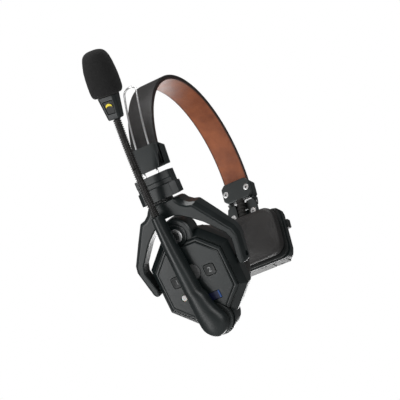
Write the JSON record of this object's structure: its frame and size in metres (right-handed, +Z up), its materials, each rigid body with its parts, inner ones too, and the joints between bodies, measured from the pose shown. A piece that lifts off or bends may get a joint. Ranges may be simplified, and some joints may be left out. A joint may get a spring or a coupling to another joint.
{
  "type": "headset microphone",
  "caption": "Wireless intercom headset with one ear cup in a fork yoke, a swinging gooseneck boom microphone, a leather-lined spring band and a temple pad that holds the battery.",
  "frame": {"origin": "underside of the headband's crown, where it rests on the head", "axes": "+X towards the temple pad, -X towards the ear cup, -Y towards the wearer's front, +Z up"},
  "size_m": [0.2321, 0.09, 0.2211],
  "materials": {
    "black_leather": "fine-grained black leather, soft sheen",
    "brown_leather": "brown grained leather, satin",
    "spring_steel": "spring steel strip",
    "steel_wire": "polished stainless wire",
    "steel_screw": "bright steel, satin",
    "black_plastic": "satin black plastic",
    "dark_plastic": "matte black plastic",
    "grey_button": "mid grey satin plastic",
    "battery_grey": "pale grey satin plastic",
    "cell_wrap": "grey wrapped cell",
    "dark_metal": "dark grey satin painted metal",
    "foam": "open-cell black foam",
    "rubber": "matte black rubber",
    "board_green": "green circuit board",
    "mark_yellow": "yellow mark",
    "label_blue": "plain blue label",
    "lamp_white": "milky white lamp lens"
  },
  "bodies": {
    "headband": {"band_leather_cover": "black_leather", "band_spring_strip": "spring_steel", "band_brown_lining": "brown_leather", "slider_sleeve": "black_plastic", "sleeve_inner_cover": "black_plastic", "sleeve_screw_1": "steel_screw", "sleeve_screw_2": "steel_screw", "clamp_inner_plate": "dark_metal", "clamp_outer_block": "black_plastic", "clamp_screw_1": "steel_screw", "clamp_screw_2": "steel_screw", "pad_hinge_pin": "steel_screw", "lead_boot": "rubber"},
    "slider": {"slide_wire_loop": "steel_wire", "slider_block_front": "black_plastic", "slider_block_back": "black_plastic", "slider_screw_1": "steel_screw", "slider_screw_2": "steel_screw", "swivel_knuckle": "dark_plastic"},
    "yoke": {"yoke_frame": "black_plastic", "swivel_pin": "steel_screw", "tilt_pin_front": "dark_metal", "tilt_pin_rear": "dark_metal"},
    "cup": {"cup_front_shell": "black_plastic", "cup_back_shell": "black_plastic", "cup_faceplate": "black_plastic", "channel_label": "label_blue", "status_lamp": "lamp_white", "keypad_membrane": "rubber", "circuit_board": "board_green", "speaker_driver": "dark_metal", "driver_grille": "dark_plastic", "ear_cushion": "black_leather", "boom_friction_disc": "dark_metal"},
    "dial": {"volume_dial": "black_plastic", "dial_ring": "steel_wire", "dial_cap": "dark_plastic"},
    "talk_button": {"talk_button": "grey_button"},
    "button_one": {"button_one": "dark_plastic"},
    "button_two": {"button_two": "dark_plastic"},
    "boom": {"boom_arm": "black_plastic", "boom_pivot_pin": "steel_screw", "gooseneck_lower": "rubber"},
    "neck": {"gooseneck_middle": "rubber"},
    "mic": {"gooseneck_upper": "rubber", "mic_housing": "black_plastic", "mic_window": "dark_plastic", "mic_mark": "mark_yellow", "foam_windscreen": "foam", "mic_capsule": "steel_screw"},
    "pad": {"pad_bracket": "dark_metal", "bracket_screw_1": "steel_screw", "bracket_screw_2": "steel_screw", "temple_cushion": "black_leather", "pad_back_plate": "dark_plastic", "battery_housing": "black_plastic"},
    "battery": {"battery_case": "battery_grey", "battery_cell": "cell_wrap"},
    "latch": {"battery_latch": "dark_plastic"}
  },
  "joints": [
    {"name": "band_extension", "type": "hinge", "parent": "headband", "child": "slider", "pos_m": [0.0665, 0, -0.0632], "axis": [0, -1, 0], "range_deg": [-0.8, 15]},
    {"name": "yoke_swivel", "type": "hinge", "parent": "slider", "child": "yoke", "pos_m": [-0.07189, 0, -0.11307], "axis": [-0.3746, 0, 0.9272], "range_deg": [-10, 10]},
    {"name": "cup_tilt", "type": "hinge", "parent": "yoke", "child": "cup", "pos_m": [-0.04638, 0, -0.16659], "axis": [0, 1, 0], "range_deg": [-12, 3]},
    {"name": "boom_swing", "type": "hinge", "parent": "cup", "child": "boom", "pos_m": [-0.03868, -0.0015, -0.2025], "axis": [-0.9063, 0, -0.4226], "range_deg": [-145, 145]},
    {"name": "gooseneck_bend_in", "type": "hinge", "parent": "boom", "child": "neck", "pos_m": [-0.09589, 0.00249, -0.10182], "axis": [0.0255, -0.9982, -0.0546], "range_deg": [-24, 35]},
    {"name": "gooseneck_bend_forward", "type": "hinge", "parent": "neck", "child": "mic", "pos_m": [-0.10643, 0.00062, -0.07923], "axis": [-0.9063, 0, -0.4226], "range_deg": [-35, 35]},
    {"name": "dial_turn", "type": "hinge", "parent": "cup", "child": "dial", "pos_m": [-0.06472, 0, -0.13862], "axis": [-0.9063, 0, -0.4226], "range_deg": [-150, 150]},
    {"name": "talk_press", "type": "slide", "parent": "cup", "child": "talk_button", "axis": [0.9063, 0, 0.4226], "range_m": [0, 0.0006], "stiffness_N_per_m": 700, "springref_m": -0.0005},
    {"name": "button_one_press", "type": "slide", "parent": "cup", "child": "button_one", "axis": [0.9063, 0, 0.4226], "range_m": [0, 0.0006], "stiffness_N_per_m": 700, "springref_m": -0.0005},
    {"name": "button_two_press", "type": "slide", "parent": "cup", "child": "button_two", "axis": [0.9063, 0, 0.4226], "range_m": [0, 0.0006], "stiffness_N_per_m": 700, "springref_m": -0.0005},
    {"name": "pad_tilt", "type": "hinge", "parent": "headband", "child": "pad", "pos_m": [0.07962, 0, -0.09321], "axis": [0, 1, 0], "range_deg": [-12, 12], "deforming": ["lead_boot"]},
    {"name": "battery_slide", "type": "slide", "parent": "pad", "child": "battery", "axis": [-0.1045, 0, -0.9945], "range_m": [0, 0.045]},
    {"name": "latch_press", "type": "slide", "parent": "pad", "child": "latch", "axis": [0, 1, 0], "range_m": [0, 0.0012], "stiffness_N_per_m": 500, "springref_m": -0.0008}
  ]
}
